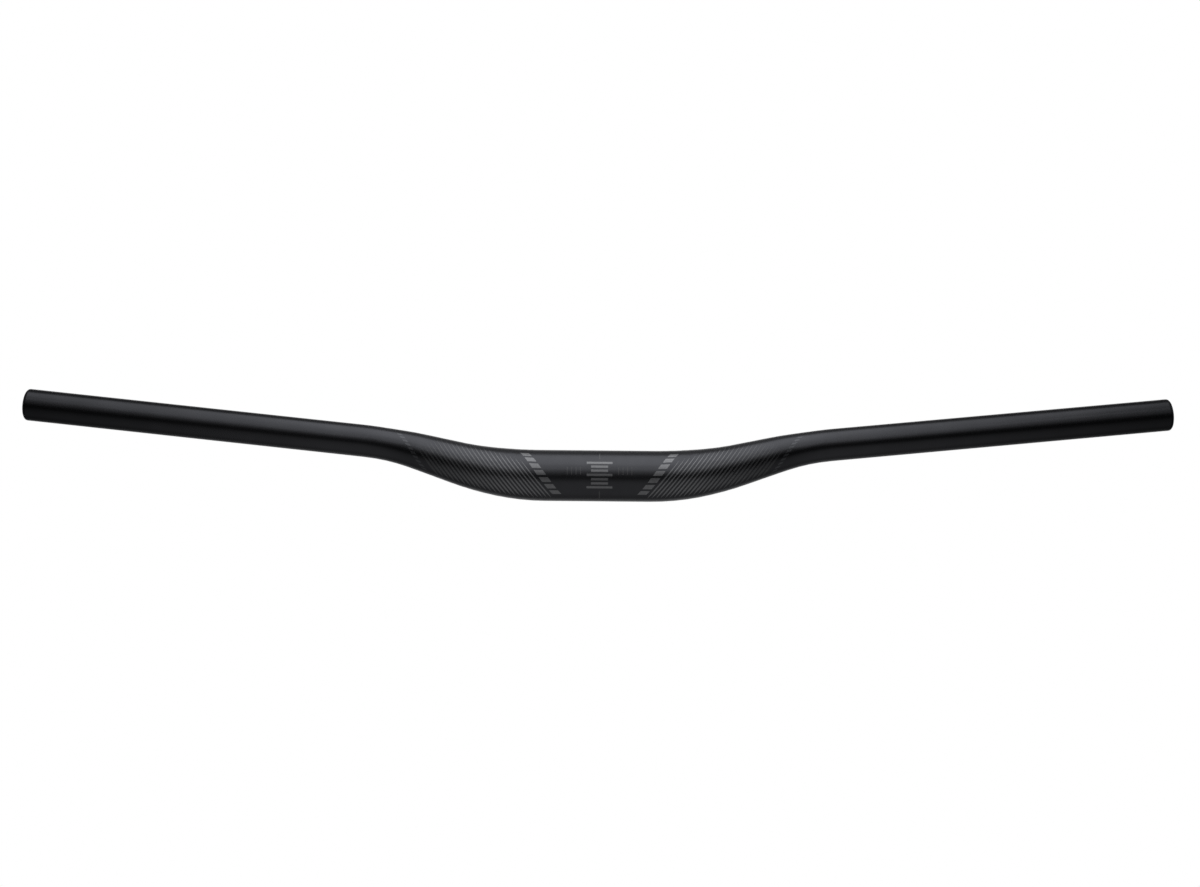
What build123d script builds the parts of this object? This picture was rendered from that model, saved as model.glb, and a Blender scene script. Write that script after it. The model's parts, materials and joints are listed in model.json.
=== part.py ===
"""Riser handlebar: one hollow alloy tube, butted, tapered and bent twice on each side.

Millimetres. The origin is the middle of the stem clamp section, on its axis. X runs along
the bar, the bar's front faces -Y, the grips sweep back towards +Y, and Z is up.
"""
import os
from math import radians, tan

from build123d import *

# Overall form
width = 800.0
rise = 20.0
backsweep = 8.0
upsweep = 5.0

# Stem clamp section
clamp_diameter = 35.0
clamp_length = 72.0
clamp_wall = 2.0

# Grip sections
grip_diameter = 22.2
grip_wall = 1.9
end_rounding = 2.5
bore_lead_in = 0.3

# Bends, and the riser between them
riser_angle = 15.0
inner_bend_radius = 210.0
outer_bend_radius = 250.0

# Taper from clamp to grip, measured along the centreline from the end of the clamp section
taper_length = 120.0
shoulder_length = 36.0
foot_length = 20.0
section_spacing = 4.0

# Centreline of the half at +X, from the middle of the clamp to the centre of the end face
sweep_back = tan(radians(backsweep))
riser = Vector(1, sweep_back, tan(radians(riser_angle)))
grip = Vector(1, sweep_back, tan(radians(upsweep)))
inner_setback = inner_bend_radius * tan(radians(riser.get_angle(Vector(1, 0, 0))) / 2)
inner_corner = Vector(clamp_length / 2 + inner_setback, 0, 0)
outer_corner = inner_corner + riser * (rise / riser.Z)
end_centre = outer_corner + grip * (width / 2 - outer_corner.X)
with BuildLine() as centreline:
    FilletPolyline(
        (0, 0, 0),
        inner_corner,
        outer_corner,
        end_centre,
        radius=[inner_bend_radius, outer_bend_radius],
    )
spine = centreline.wire()

# Stations along the centreline where the wall changes form
taper_start = clamp_length / 2
taper_end = taper_start + taper_length
outer_setback = outer_bend_radius * tan(radians(riser.get_angle(grip)) / 2)
bend_end = spine.length - ((end_centre - outer_corner).length - outer_setback)
grip_start = max(bend_end, taper_end)
section_count = round((grip_start - taper_start) / section_spacing)
sections = [
    taper_start + (grip_start - taper_start) * number / section_count
    for number in range(section_count + 1)
]


def eased(distance, length):
    """A ramp of unit slope whose corner, at zero, is rounded over this length."""
    if abs(distance) < length / 2:
        return (distance + length / 2) ** 2 / (2 * length)
    return max(distance, 0)


def tapered(at_clamp, at_grip, station):
    """A size that changes evenly along the taper, with a rounded shoulder and foot."""
    shoulder = taper_start + shoulder_length / 2
    foot = taper_end - foot_length / 2
    fall = eased(station - shoulder, shoulder_length) - eased(station - foot, foot_length)
    return at_clamp + (at_grip - at_clamp) * fall / (foot - shoulder)


def across(station):
    """The plane square to the centreline at this station."""
    heading = spine.tangent_at(station, position_mode=PositionMode.LENGTH)
    origin = spine.position_at(station, position_mode=PositionMode.LENGTH)
    return Plane(origin=origin, x_dir=Vector(0, 0, 1).cross(heading), z_dir=heading)


def outside(station):
    """The tube's outside at this station."""
    diameter = tapered(clamp_diameter, grip_diameter, station)
    with BuildSketch(across(station)) as section:
        Circle(diameter / 2)
    return section.sketch


def inside(station):
    """The tube's inside at this station."""
    diameter = tapered(clamp_diameter, grip_diameter, station)
    wall = tapered(clamp_wall, grip_wall, station)
    with BuildSketch(across(station)) as section:
        Circle(diameter / 2 - wall)
    return section.sketch


grip_length = spine.length - grip_start
grip_axis = Axis(origin=end_centre, direction=grip)

with BuildPart() as arm:
    # Both bends and the riser, then the straight grip section
    loft([outside(station) for station in sections])
    extrude(outside(grip_start), amount=grip_length)
    # End rounded over into the bore
    end_face = arm.faces().sort_by(grip_axis)[-1]
    fillet(end_face.edges(), radius=end_rounding)
    # Hollow inside, with a lead-in at its mouth, the smallest ring at the tube's very end
    loft([inside(station) for station in sections], mode=Mode.SUBTRACT)
    extrude(inside(grip_start), amount=grip_length, mode=Mode.SUBTRACT)
    rings = arm.edges().group_by(grip_axis, tol_digits=3)[-1]
    chamfer(rings.sort_by(SortBy.LENGTH)[0], length=bore_lead_in)

with BuildPart() as handlebar:
    # Stem clamp section, with an arm on each side
    extrude(outside(0), amount=clamp_length / 2, both=True)
    extrude(inside(0), amount=clamp_length / 2, both=True, mode=Mode.SUBTRACT)
    add(arm.part)
    mirror(arm.part, about=Plane.YZ)

handlebar.part.label = "handlebar"
os.makedirs("parts", exist_ok=True)
export_step(handlebar.part, "parts/handlebar.step")
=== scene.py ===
"""Looks of the riser handlebar: its satin black finish, its printed hatching and clamp marks.

Lengths are in metres and angles in degrees, unless a comment says otherwise.
"""
import json
from math import cos, pi, radians, sin, tan

import bmesh
import bpy
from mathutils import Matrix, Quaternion, Vector
from mathutils.bvhtree import BVHTree


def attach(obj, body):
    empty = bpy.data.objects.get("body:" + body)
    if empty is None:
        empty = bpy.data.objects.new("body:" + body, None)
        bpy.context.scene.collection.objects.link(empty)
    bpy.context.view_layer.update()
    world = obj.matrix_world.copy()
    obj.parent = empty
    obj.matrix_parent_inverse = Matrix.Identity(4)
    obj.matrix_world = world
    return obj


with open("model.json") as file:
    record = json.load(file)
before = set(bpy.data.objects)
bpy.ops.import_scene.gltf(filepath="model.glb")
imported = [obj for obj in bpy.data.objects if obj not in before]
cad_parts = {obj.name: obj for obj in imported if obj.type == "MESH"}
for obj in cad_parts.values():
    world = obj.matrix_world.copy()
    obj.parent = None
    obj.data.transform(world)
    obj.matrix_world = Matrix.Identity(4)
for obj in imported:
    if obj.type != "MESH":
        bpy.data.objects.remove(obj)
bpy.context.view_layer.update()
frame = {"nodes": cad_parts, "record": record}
bar = frame["nodes"]["handlebar"]
mounts = {mount["name"]: mount for mount in frame["record"]["mounts"]}


def new_mesh_object(name, bm):
    mesh = bpy.data.meshes.new(name)
    bm.to_mesh(mesh)
    bm.free()
    piece = bpy.data.objects.new(name, mesh)
    bpy.context.scene.collection.objects.link(piece)
    return piece


def new_face_object(name, corners):
    bm = bmesh.new()
    bm.faces.new([bm.verts.new(corner) for corner in corners])
    return new_mesh_object(name, bm)


# ---------------------------------------------------------------- camera

PHOTO_WIDTH, PHOTO_HEIGHT = 1200, 887
CAMERA_DISTANCE = 2.2
CAMERA_ELEVATION = 4.84
CAMERA_ROLL = 0.522
SENSOR_WIDTH = 36.0  # millimetres
FOCAL_PIXELS = 3207.0  # the focal length, in the photograph's pixels
CENTRE_PIXEL = (597.6, 475.9)  # where the photograph shows the clamp's middle


def add_camera():
    """Camera at the photograph's angle, with the clamp's middle at its place in the picture."""
    data = bpy.data.cameras.new("camera")
    data.sensor_fit = "HORIZONTAL"
    data.sensor_width = SENSOR_WIDTH
    data.lens = FOCAL_PIXELS / PHOTO_WIDTH * SENSOR_WIDTH
    camera = bpy.data.objects.new("camera", data)
    bpy.context.scene.collection.objects.link(camera)
    rise = radians(CAMERA_ELEVATION)
    view = Vector((0, cos(rise), -sin(rise)))
    up = Vector((0, sin(rise), cos(rise)))
    roll = radians(CAMERA_ROLL)
    right_px = PHOTO_WIDTH / 2 - CENTRE_PIXEL[0]
    down_px = PHOTO_HEIGHT / 2 - CENTRE_PIXEL[1]
    across = right_px * cos(roll) + down_px * sin(roll)
    above = right_px * sin(roll) - down_px * cos(roll)
    aim = (Vector((1, 0, 0)) * across + up * above) * (CAMERA_DISTANCE / FOCAL_PIXELS)
    camera.location = -view * CAMERA_DISTANCE
    camera.rotation_mode = "QUATERNION"
    looking = (aim - camera.location).to_track_quat("-Z", "Y")
    camera.rotation_quaternion = looking @ Quaternion((0, 0, 1), roll)
    bpy.context.scene.camera = camera


# ---------------------------------------------------------------- surface of the bar

# The bar's axis, as the part's source gives it
RISE = 0.020
INNER_BEND_RADIUS = 0.210
OUTER_BEND_RADIUS = 0.250

RAY_START = 0.03  # distance from the axis, clear of the bar


def axis_runs():
    """Straight runs and bends of the right half's axis, from the clamp's middle outwards.

    Each is its start, heading and length, and for a bend the way it turns and its radius.
    """
    heading = Vector(mounts["right_grip"]["axis"])
    seat = Vector(mounts["right_grip"]["pos_m"])
    inner = seat - heading * (seat.y / heading.y)
    inner.z = 0
    outer = seat - heading * ((seat.z - RISE) / heading.z)
    corners = [Vector((0, 0, 0)), inner, outer, seat]
    runs, at = [], corners[0]
    for k, radius in ((1, INNER_BEND_RADIUS), (2, OUTER_BEND_RADIUS)):
        before = (corners[k] - corners[k - 1]).normalized()
        after = (corners[k + 1] - corners[k]).normalized()
        turn = before.angle(after)
        tangent = radius * tan(turn / 2)
        entry = corners[k] - before * tangent
        inwards = (after - before * before.dot(after)).normalized()
        runs.append((at, before, (entry - at).length, None, 0))
        runs.append((entry, before, radius * turn, inwards, radius))
        at = corners[k] + after * tangent
    runs.append((at, after, (seat - at).length, None, 0))
    return runs


RUNS = axis_runs()
SURFACE = BVHTree.FromObject(bar, bpy.context.evaluated_depsgraph_get())


def axis_at(station):
    """Point and heading of the axis, a length away from the clamp's middle."""
    for start, heading, length, inwards, radius in RUNS:
        if station <= length:
            break
        station -= length
    if inwards is None:
        return start + heading * station, heading
    turned = station / radius
    point = start + heading * (radius * sin(turned)) + inwards * (radius * (1 - cos(turned)))
    return point, heading * cos(turned) + inwards * sin(turned)


def on_bar(station, angle, lift):
    """Point over the bar's outside; the angle, in radians, is 0 in front and grows upwards."""
    point, heading = axis_at(abs(station))
    front = Vector((0, -1, 0))
    front = (front - heading * front.dot(heading)).normalized()
    outwards = front * cos(angle) + front.cross(heading) * sin(angle)
    if station < 0:
        point.x, outwards.x = -point.x, -outwards.x
    found = SURFACE.ray_cast(point + outwards * RAY_START, -outwards)[0]
    return found + outwards * lift


def radius_at(station):
    """Outer radius of the bar."""
    return (on_bar(station, 0, 0) - axis_at(station)[0]).length


# ---------------------------------------------------------------- print

PRINT_HEIGHT = 0.00005
PRINT_STEP = 0.0005
PRINT_SHIFT = 0.0013  # of all the print, along the bar

# Slanted lines on the arms; a pair is for the first line, at the clamp, and the last
HATCH_LINES = 24
HATCH_FIRST = 0.0445
HATCH_PITCH = 0.00288
HATCH_SLOPE = (0.82, 0.75)
HATCH_WIDTH = (0.00108, 0.00128)
HATCH_SWELL = (0.45, 0.80)
HATCH_FOOT = -54.0
HATCH_TOP = (42.0, 20.0)
HATCH_TOP_STEP = (4.5, 8.0)
HATCH_HIGHEST_TOP = 78.0

# Ends of each line, and the least shares of its width there and where it is thinnest
FOOT_TIP, TOP_TIP = 28.0, 36.0
TIP_SHARE = 0.08
THIN_SHARE = 0.2
CROSSING_STEPS = 5

# Slanted rows of dashes, beside the clamp and at the hatching's outer end
INNER_ROW = dict(station=0.0380, width=0.0062, length=0.0040, pitch=0.0059,
                 count=7, low=-41.0, lean=54.0)
OUTER_ROW = dict(station=0.1288, width=0.0034, length=0.0022, pitch=0.0034,
                 count=10, low=-50.0, lean=43.0)

# Ladder at the middle, where every third bar is a long one
INDEX_BARS = 7
INDEX_LONG_EVERY = 3
INDEX_LONG_HALF, INDEX_SHORT_HALF = 0.0088, 0.0058
INDEX_LOW = -21.5
INDEX_PITCH = 9.5
INDEX_HALF_HEIGHT = 2.7

# Centre line, above and below the ladder, and ticks on each side of it
CENTRE_SPANS = ((45, 66), (-56, -32))
CENTRE_HALF = 0.0003
TICKS = 4
TICK_FIRST = 0.0130
TICK_PITCH = 0.0030
TICK_HALF = 0.0002
TICK_SPAN = (7, 25)


def crossing(side, reach, slope, angle):
    """Station at which a line, straight as seen from the front, meets this angle round the bar."""
    start = side * reach + PRINT_SHIFT
    station = start
    for _ in range(CROSSING_STEPS):
        point, heading = on_bar(station, angle, 0), axis_at(abs(station))[1]
        miss = start + side * slope * point.z - point.x
        station += miss / (heading.x - slope * heading.z)
    return station


class Print:
    """Thin printed film, built of patches that lie on the bar."""

    def __init__(self, name, ink):
        self.name, self.ink, self.bm = name, ink, bmesh.new()

    def sheet(self, rows, side):
        """Faces between rows of points."""
        grid = [[self.bm.verts.new(point) for point in row] for row in rows]
        for below, above in zip(grid, grid[1:]):
            for k in range(len(below) - 1):
                ring = [below[k], below[k + 1], above[k + 1], above[k]]
                self.bm.faces.new(ring if side > 0 else ring[::-1])

    def patch(self, side, stations, angles, slant=0.0):
        """Patch between two stations and two angles, leaning outwards as it goes up."""
        low, high = (radians(angle) for angle in angles)
        start, end = stations
        radius = radius_at((start + end) / 2)
        count = max(2, round(radius * (high - low) / PRINT_STEP))
        columns = max(1, round((end - start) / PRINT_STEP))
        along = [start + (end - start) * k / columns for k in range(columns + 1)]
        rows = []
        for row in range(count + 1):
            angle = low + (high - low) * row / count
            lean = radius * slant * angle
            rows.append([on_bar(side * (station + lean) + PRINT_SHIFT, angle, PRINT_HEIGHT)
                         for station in along])
        self.sheet(rows, side)

    def line(self, side, reach, slope, width, swell, angles):
        """Line that is straight as seen from the front, swells downwards and ends in tips."""
        low, high = (radians(angle) for angle in angles)
        foot, top = radians(FOOT_TIP), radians(TOP_TIP)
        count = round(radius_at(reach) * (high - low) / PRINT_STEP)
        rows = []
        for row in range(count + 1):
            angle = low + (high - low) * row / count
            ends = sin(min(1.0, (angle - low) / foot, (high - angle) / top) * pi / 2)
            half = width / 2 * max(TIP_SHARE, ends) * max(THIN_SHARE, 1 - swell * angle)
            rows.append([on_bar(crossing(side, edge, slope, angle), angle, PRINT_HEIGHT)
                         for edge in (reach - half, reach + half)])
        self.sheet(rows, side)

    def finish(self):
        """The film as a piece, with the bar's own shading, so that it doesn't look embossed."""
        piece = new_mesh_object(self.name, self.bm)
        for face in piece.data.polygons:
            face.use_smooth = True
        film = piece.modifiers.new("film", "SOLIDIFY")
        # It reaches as far into the bar as it stands out
        film.thickness = 2 * PRINT_HEIGHT
        film.offset = -1
        shading = piece.modifiers.new("shading", "DATA_TRANSFER")
        shading.object = bar
        shading.use_loop_data = True
        shading.data_types_loops = {"CUSTOM_NORMAL"}
        shading.loop_mapping = "POLYINTERP_NEAREST"
        piece.data.materials.append(self.ink)
        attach(piece, "root")


def part_way(ends, along):
    """Value at a share of the way from one end to the other."""
    return ends[0] + (ends[1] - ends[0]) * along


def add_hatch(name, side, ink):
    """Slanted lines, a little wider from the clamp outwards; the first and last few end lower."""
    hatch = Print(name, ink)
    last = HATCH_LINES - 1
    for k in range(HATCH_LINES):
        along = k / last
        top = min(HATCH_TOP[0] + HATCH_TOP_STEP[0] * k, HATCH_HIGHEST_TOP,
                  HATCH_TOP[1] + HATCH_TOP_STEP[1] * (last - k))
        hatch.line(side, HATCH_FIRST + HATCH_PITCH * k, part_way(HATCH_SLOPE, along),
                   part_way(HATCH_WIDTH, along), part_way(HATCH_SWELL, along), (HATCH_FOOT, top))
    hatch.finish()


def add_dashes(name, side, ink, row):
    """Slanted row of dashes, one above the other."""
    dashes = Print(name, ink)
    lean = radians(row["lean"])
    degrees_a_metre = sin(lean) / radius_at(row["station"]) * 180 / pi
    stations = (row["station"] - row["width"] / 2, row["station"] + row["width"] / 2)
    for k in range(row["count"]):
        low = row["low"] + k * row["pitch"] * degrees_a_metre
        high = low + row["length"] * degrees_a_metre
        dashes.patch(side, stations, (low, high), 1 / tan(lean))
    dashes.finish()


def add_index(name, ink):
    """Roll index at the middle: a ladder of level bars."""
    index = Print(name, ink)
    for k in range(INDEX_BARS):
        half = INDEX_SHORT_HALF if k % INDEX_LONG_EVERY else INDEX_LONG_HALF
        angle = INDEX_LOW + k * INDEX_PITCH
        index.patch(1, (-half, half), (angle - INDEX_HALF_HEIGHT, angle + INDEX_HALF_HEIGHT))
    index.finish()


def add_marks(name, ink):
    """Faint clamp marks: the centre line and the ticks beside the index."""
    marks = Print(name, ink)
    for span in CENTRE_SPANS:
        marks.patch(1, (-CENTRE_HALF, CENTRE_HALF), span)
    for side in (-1, 1):
        for k in range(TICKS):
            station = TICK_FIRST + k * TICK_PITCH
            marks.patch(side, (station - TICK_HALF, station + TICK_HALF), TICK_SPAN)
    marks.finish()


# ---------------------------------------------------------------- shader nodes

UNIT = (0.0, 1.0)


def put(tree, socket, value):
    """Set a socket to a value, or link it to another node's output."""
    if isinstance(value, bpy.types.NodeSocket):
        tree.links.new(value, socket)
    else:
        socket.default_value = value


def add_node(tree, kind, **sockets):
    node = tree.nodes.new(kind)
    for name, value in sockets.items():
        put(tree, node.inputs[name], value)
    return node


def calculated(tree, operation, *values):
    """Output of a math node; each value is a number or another node's output."""
    node = tree.nodes.new("ShaderNodeMath")
    node.operation = operation
    for socket, value in zip(node.inputs, values):
        put(tree, socket, value)
    return node.outputs[0]


def times(tree, *factors):
    """Product of several outputs."""
    total = factors[0]
    for factor in factors[1:]:
        total = calculated(tree, "MULTIPLY", total, factor)
    return total


def mapped(tree, source, span, levels, interpolation="LINEAR"):
    """One level, going over to another as the source goes across a span."""
    node = add_node(tree, "ShaderNodeMapRange", Value=source)
    node.interpolation_type = interpolation
    for name, value in zip(("From Min", "From Max", "To Min", "To Max"), (*span, *levels)):
        put(tree, node.inputs[name], value)
    return node.outputs["Result"]


def graded(tree, source, span, levels):
    """The same, with a soft start and end."""
    return mapped(tree, source, span, levels, "SMOOTHSTEP")


def ramp(tree, source, span, colours):
    """One colour, going over to another as the source goes across a span."""
    node = add_node(tree, "ShaderNodeValToRGB", Fac=source)
    for stop, place, colour in zip(node.color_ramp.elements, span, colours):
        stop.position = place
        stop.color = (*colour, 1)
    return node.outputs["Color"]


def split_axes(tree, vector):
    """Node that gives a vector's X, Y and Z."""
    return add_node(tree, "ShaderNodeSeparateXYZ", Vector=vector)


def own_place(tree):
    """Place on the piece itself."""
    return tree.nodes.new("ShaderNodeTexCoord").outputs["Object"]


def noise(tree, scale, detail):
    """Noise that is fixed to the piece."""
    texture = add_node(tree, "ShaderNodeTexNoise", Vector=own_place(tree),
                       Scale=scale, Detail=detail)
    return texture.outputs["Fac"]


def show_mix(tree, share, without, with_all, output):
    """Show two shaders, mixed by a share."""
    mix = tree.nodes.new("ShaderNodeMixShader")
    sources = (share, without.outputs[0], with_all.outputs[0])
    for socket, source in zip(mix.inputs, sources):
        tree.links.new(source, socket)
    tree.links.new(mix.outputs[0], tree.nodes[output].inputs["Surface"])


# ---------------------------------------------------------------- materials

EDGE_TINT = (0.6, 0.6, 0.6, 1)
NOISE_SPAN = (0.3, 0.7)  # in which nearly all of a noise lies

CLOUDS = dict(scale=60.0, detail=3.0)
GRAIN = dict(scale=2600.0, detail=2.0)
INK_SPECKLE = dict(scale=900.0, detail=3.0)
INK_GRAIN = dict(scale=3200.0, detail=2.0)

BAR_COLOURS = ((0.0515, 0.0522, 0.0570), (0.0575, 0.0582, 0.0635))
BAR_SURFACE = dict(roughness=(0.25, 0.30), relief=GRAIN, strength=0.10, depth=0.00008)
INK_SURFACE = dict(roughness=(0.28, 0.34), relief=INK_GRAIN, strength=0.08, depth=0.00003)
HATCH_SURFACE = dict(roughness=(0.26, 0.32), relief=INK_GRAIN, strength=0.05, depth=0.00003)

# Distances from the clamp's middle between which the hatching fades, and how unevenly
FADE_SPAN = (0.060, 0.118)
FADE_SPECKLE = (-0.05, 0.05)


def new_material(name):
    material = bpy.data.materials.new(name)
    material.use_nodes = True
    return material, material.node_tree, material.node_tree.nodes["Principled BSDF"]


def add_surface(tree, shader, roughness, relief, strength, depth):
    """Fine grain in the gloss and in the surface, and edges that stay dark."""
    shader.inputs["Specular Tint"].default_value = EDGE_TINT
    tree.links.new(mapped(tree, noise(tree, **GRAIN), NOISE_SPAN, roughness),
                   shader.inputs["Roughness"])
    bump = add_node(tree, "ShaderNodeBump", Height=noise(tree, **relief),
                    Strength=strength, Distance=depth)
    tree.links.new(bump.outputs["Normal"], shader.inputs["Normal"])


def satin_black():
    material, tree, shader = new_material("satin_black")
    shader.inputs["Metallic"].default_value = 1.0
    tree.links.new(ramp(tree, noise(tree, **CLOUDS), NOISE_SPAN, BAR_COLOURS),
                   shader.inputs["Base Color"])
    add_surface(tree, shader, **BAR_SURFACE)
    return material


def grey_ink(name, colours, metallic):
    material, tree, shader = new_material(name)
    shader.inputs["Metallic"].default_value = metallic
    tree.links.new(ramp(tree, noise(tree, **INK_SPECKLE), NOISE_SPAN, colours),
                   shader.inputs["Base Color"])
    add_surface(tree, shader, **INK_SURFACE)
    return material


def fading_ink(name, colours, metallic):
    """Tone-on-tone ink that loses strength from the clamp outwards."""
    material, tree, shader = new_material(name)
    away = calculated(tree, "ABSOLUTE", split_axes(tree, own_place(tree)).outputs["X"])
    speckle = mapped(tree, noise(tree, **INK_SPECKLE), NOISE_SPAN, FADE_SPECKLE)
    faded = calculated(tree, "ADD", mapped(tree, away, FADE_SPAN, UNIT), speckle)
    tree.links.new(ramp(tree, faded, UNIT, colours), shader.inputs["Base Color"])
    tree.links.new(mapped(tree, faded, UNIT, metallic), shader.inputs["Metallic"])
    add_surface(tree, shader, **HATCH_SURFACE)
    return material


# ---------------------------------------------------------------- floor and surroundings

WHITE = (1, 1, 1, 1)
WORLD_GREY = (0.45, 0.45, 0.45, 1)
FLOOR_HEIGHT = -0.5
FLOOR_REACH = 9.0
FLOOR_GREY = (0.72, 0.72, 0.72, 1)
FLOOR_ROUGHNESS = 0.9
FLOOR_GLOW = 0.40
FLOOR_FADE = (0.65, 0.98)  # distances from the clamp's middle between which it turns white


def seen_ray(tree):
    """1 for what the camera sees straight, in gloss or through glass."""
    path = tree.nodes.new("ShaderNodeLightPath")
    seen = calculated(tree, "MAXIMUM", path.outputs["Is Camera Ray"],
                      path.outputs["Is Glossy Ray"])
    return calculated(tree, "MAXIMUM", seen, path.outputs["Is Transmission Ray"])


def add_floor():
    """Pale floor that keeps the bar's shadow and goes over to white away from it."""
    corners = ((-1, -1), (1, -1), (1, 1), (-1, 1))
    floor = new_face_object("floor", [(x * FLOOR_REACH, y * FLOOR_REACH, FLOOR_HEIGHT)
                                      for x, y in corners])
    material, tree, shader = new_material("floor")
    shader.inputs["Base Color"].default_value = FLOOR_GREY
    shader.inputs["Roughness"].default_value = FLOOR_ROUGHNESS
    shader.inputs["Emission Color"].default_value = WHITE
    seen = seen_ray(tree)
    tree.links.new(graded(tree, seen, UNIT, (0.0, FLOOR_GLOW)),
                   shader.inputs["Emission Strength"])
    place = tree.nodes.new("ShaderNodeNewGeometry")
    distance = tree.nodes.new("ShaderNodeVectorMath")
    distance.operation = "LENGTH"
    tree.links.new(place.outputs["Position"], distance.inputs[0])
    far = graded(tree, distance.outputs["Value"], FLOOR_FADE, UNIT)
    white = tree.nodes.new("ShaderNodeEmission")
    show_mix(tree, times(tree, far, seen), shader, white, "Material Output")
    floor.data.materials.append(material)


def add_world():
    """Grey surroundings that light the bar and look white."""
    world = bpy.data.worlds.new("world")
    world.use_nodes = True
    tree = world.node_tree
    grey = tree.nodes["Background"]
    grey.inputs["Color"].default_value = WORLD_GREY
    white = add_node(tree, "ShaderNodeBackground", Color=WHITE)
    show_mix(tree, seen_ray(tree), grey, white, "World Output")
    bpy.context.scene.world = world


# ---------------------------------------------------------------- cards and lamps

TENT_SIDE = 4.0
TENT_FRONT, TENT_BACK = -2.7, 2.6
TENT_LOW, TENT_HIGH = -0.45, 1.35
LOWER_BACK = 0.8
UPPER_BACK = 0.45
LAMP_COLOUR = (0.97, 0.985, 1.0)

# Levels of the cards, or factors of them, and the spans across which one goes over to the other
FRONT_TOP = 1.25
FRONT_TOP_LEVEL = 0.48
FRONT_FOOT = dict(span=(0.6, 1.1), levels=(0.25, 0.40))
FRONT_FOOT_ON_RIGHT = dict(span=(0.7, 1.2), levels=(1.0, 1.35))
FRONT_FOOT_LEVEL = dict(span=(0.4, 1.4), levels=(0.065, 0.036), shift=0.5)
FRONT_BESIDE_CLAMP = dict(span=(0.1, 0.5), levels=(1.0, 1.35))
FRONT_ARMS = dict(span=(0.75, 1.10), levels=(1.0, 0.88), shift=-0.15)
FRONT_ENDS = dict(span=(1.05, 1.65), levels=(1.0, 0.04), shift=0.02)
LOWER_APPROACH = dict(span=(-2.6, -0.6), levels=(0.10, 0.34))
LOWER_UNDER_BAR = dict(span=(-0.05, 0.1), levels=(1.0, 0.7))
LOWER_RIM = dict(span=(0.2, 0.5), levels=(1.0, 3.6))
LOWER_SIDES = dict(span=(0.15, 0.85), levels=(1.0, 0.12), lean=0.2)
UPPER_EDGE = (-2.25, -1.95)
UPPER_EDGE_LEVEL = dict(span=(0.2, 0.7), levels=(0.28, 0.80))
UPPER_EDGE_ENDS = dict(span=(1.0, 1.35), levels=(1.0, 0.12), shift=-0.06)
UPPER_LEVEL = dict(span=(0.3, 1.2), levels=(0.45, 0.1575))
REAR_LEVEL = dict(span=(0.1, 0.5), levels=(0.45, 0.135))
SIDE_LEVEL = dict(span=(-0.4, 1.2), levels=(0.05, 0.12))


def aside(tree, place, span, levels, shift=0.0, lean=0.0):
    """One level near the middle of the stage, going over to another at a distance to each side."""
    moved = calculated(tree, "ADD", place.outputs["X"], shift)
    away = calculated(tree, "ABSOLUTE", moved)
    leaning = calculated(tree, "MULTIPLY_ADD", place.outputs["Y"], lean, away)
    return graded(tree, leaning, span, levels)


def front_level(tree, place):
    """Dark at the bar's height, lighter upwards, and nearly black far out to each side."""
    foot = times(tree, aside(tree, place, **FRONT_FOOT),
                 graded(tree, place.outputs["X"], **FRONT_FOOT_ON_RIGHT))
    upwards = graded(tree, place.outputs["Z"], (foot, FRONT_TOP),
                     (aside(tree, place, **FRONT_FOOT_LEVEL), FRONT_TOP_LEVEL))
    return times(tree, upwards, aside(tree, place, **FRONT_BESIDE_CLAMP),
                 aside(tree, place, **FRONT_ARMS), aside(tree, place, **FRONT_ENDS))


def lower_level(tree, place):
    """Lighter towards the bar and lightest behind it; darker to the sides."""
    return times(tree, graded(tree, place.outputs["Y"], **LOWER_APPROACH),
                 graded(tree, place.outputs["Y"], **LOWER_UNDER_BAR),
                 graded(tree, place.outputs["Y"], **LOWER_RIM),
                 aside(tree, place, **LOWER_SIDES))


def upper_level(tree, place):
    """Darker to the sides, but along the front edge lightest where the risers look."""
    edge = times(tree, aside(tree, place, **UPPER_EDGE_LEVEL),
                 aside(tree, place, **UPPER_EDGE_ENDS))
    return mapped(tree, place.outputs["Y"], UPPER_EDGE,
                  (edge, aside(tree, place, **UPPER_LEVEL)))


def rear_level(tree, place):
    """Darker to the sides."""
    return aside(tree, place, **REAR_LEVEL)


def side_level(tree, place):
    """Lighter upwards."""
    return graded(tree, place.outputs["Z"], **SIDE_LEVEL)


def add_card(name, corners, level):
    """Grey card that shows only in reflections; its level comes from its place."""
    card = new_face_object(name, corners)
    material, tree, _ = new_material(name)
    place = tree.nodes.new("ShaderNodeNewGeometry").outputs["Position"]
    glow = add_node(tree, "ShaderNodeEmission", Strength=level(tree, split_axes(tree, place)))
    tree.links.new(glow.outputs[0], tree.nodes["Material Output"].inputs["Surface"])
    card.data.materials.append(material)
    card.visible_camera = card.visible_diffuse = card.visible_shadow = False


def upright(start, end):
    """Corners of a card that stands between two places."""
    return (*start, TENT_LOW), (*end, TENT_LOW), (*end, TENT_HIGH), (*start, TENT_HIGH)


def flat(front, back, height):
    """Corners of a level card."""
    return ((-TENT_SIDE, front, height), (TENT_SIDE, front, height),
            (TENT_SIDE, back, height), (-TENT_SIDE, back, height))


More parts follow.
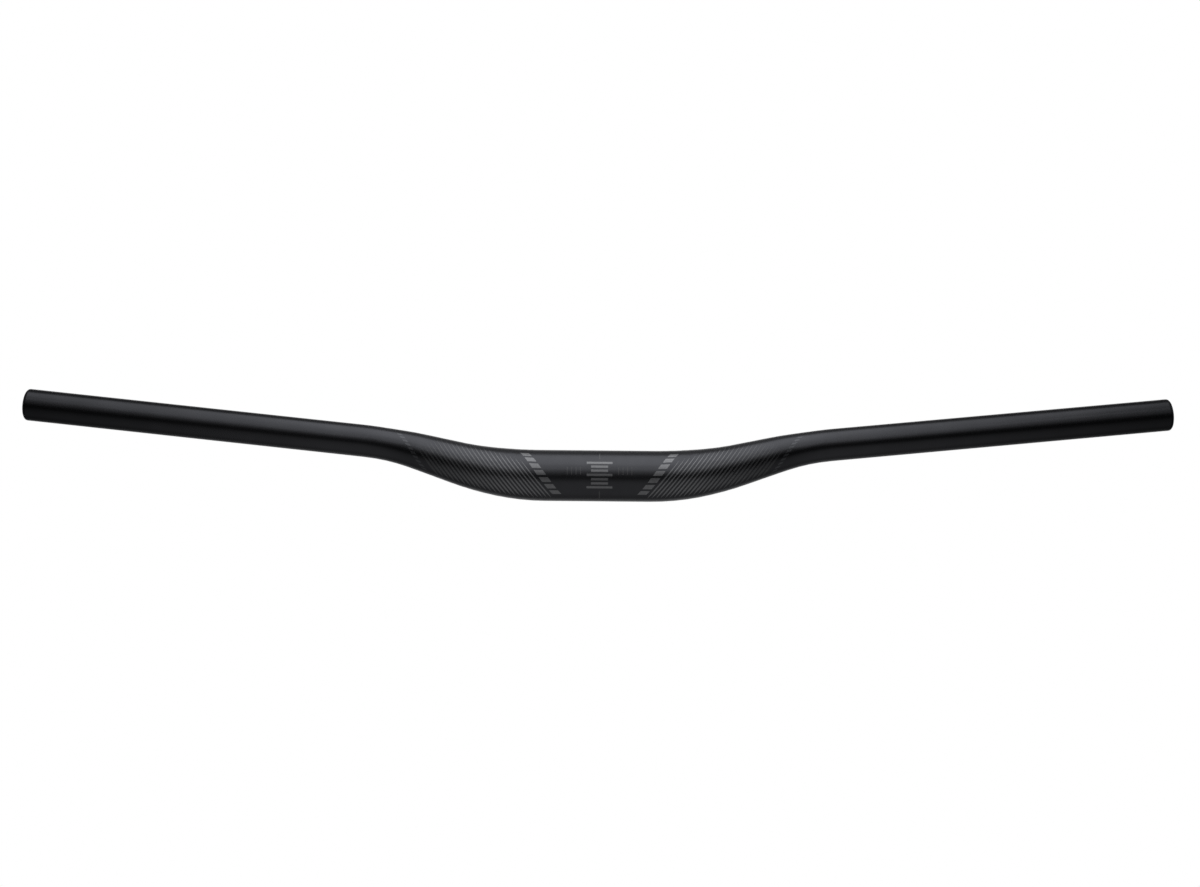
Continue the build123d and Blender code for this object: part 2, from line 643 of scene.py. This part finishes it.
def add_tent():
    """Grey cards round the bar, open at the back."""
    add_card("front_card", upright((-TENT_SIDE, TENT_FRONT), (TENT_SIDE, TENT_FRONT)),
             front_level)
    add_card("lower_card", flat(TENT_FRONT, LOWER_BACK, TENT_LOW), lower_level)
    add_card("upper_card", flat(TENT_FRONT, UPPER_BACK, TENT_HIGH), upper_level)
    add_card("rear_card", flat(UPPER_BACK, TENT_BACK, TENT_HIGH), rear_level)
    for name, x in (("left_card", -TENT_SIDE), ("right_card", TENT_SIDE)):
        add_card(name, upright((x, TENT_FRONT), (x, TENT_BACK)), side_level)


def add_softbox(name, level, middle, width, front, back, height, spread=180):
    """Lamp over the bar, of a plain level as the bar sees it."""
    lamp = bpy.data.lights.new(name, "AREA")
    lamp.shape = "RECTANGLE"
    lamp.size, lamp.size_y = width, back - front
    lamp.spread = radians(spread)
    lamp.energy = level * pi * lamp.size * lamp.size_y
    lamp.color = LAMP_COLOUR
    softbox = bpy.data.objects.new(name, lamp)
    softbox.location = (middle, (front + back) / 2, height)
    softbox.visible_camera = False
    bpy.context.scene.collection.objects.link(softbox)


# ---------------------------------------------------------------- build

add_camera()
add_floor()
add_tent()
add_softbox("front_softbox", level=0.73, middle=-0.035, width=1.51,
            front=-1.6, back=-0.50, height=0.90)
add_softbox("back_softbox", level=0.73, middle=-0.05, width=1.26,
            front=-0.50, back=0.35, height=0.90)
add_softbox("top_softbox", level=0.31, middle=-0.02, width=0.66,
            front=-0.65, back=0.35, height=0.86, spread=130)
add_world()

bar.data.materials[0] = satin_black()
ink = grey_ink("print_grey", metallic=0.80,
               colours=((0.155, 0.156, 0.162), (0.185, 0.186, 0.193)))
faint_ink = grey_ink("print_faint", metallic=0.6,
                     colours=((0.070, 0.070, 0.072), (0.090, 0.090, 0.093)))
outer_ink = grey_ink("print_outer", metallic=0.92,
                     colours=((0.080, 0.0815, 0.088), (0.096, 0.0975, 0.105)))
hatch_ink = fading_ink("print_hatch", metallic=(0.72, 0.84),
                       colours=((0.160, 0.161, 0.167), (0.070, 0.071, 0.074)))
for side, name in ((-1, "left"), (1, "right")):
    add_hatch("hatch_" + name, side, hatch_ink)
    add_dashes("dashes_" + name, side, ink, INNER_ROW)
    add_dashes("outer_dashes_" + name, side, outer_ink, OUTER_ROW)
add_index("roll_index", ink)
add_marks("clamp_marks", faint_ink)

bpy.context.scene.view_settings.view_transform = "Standard"
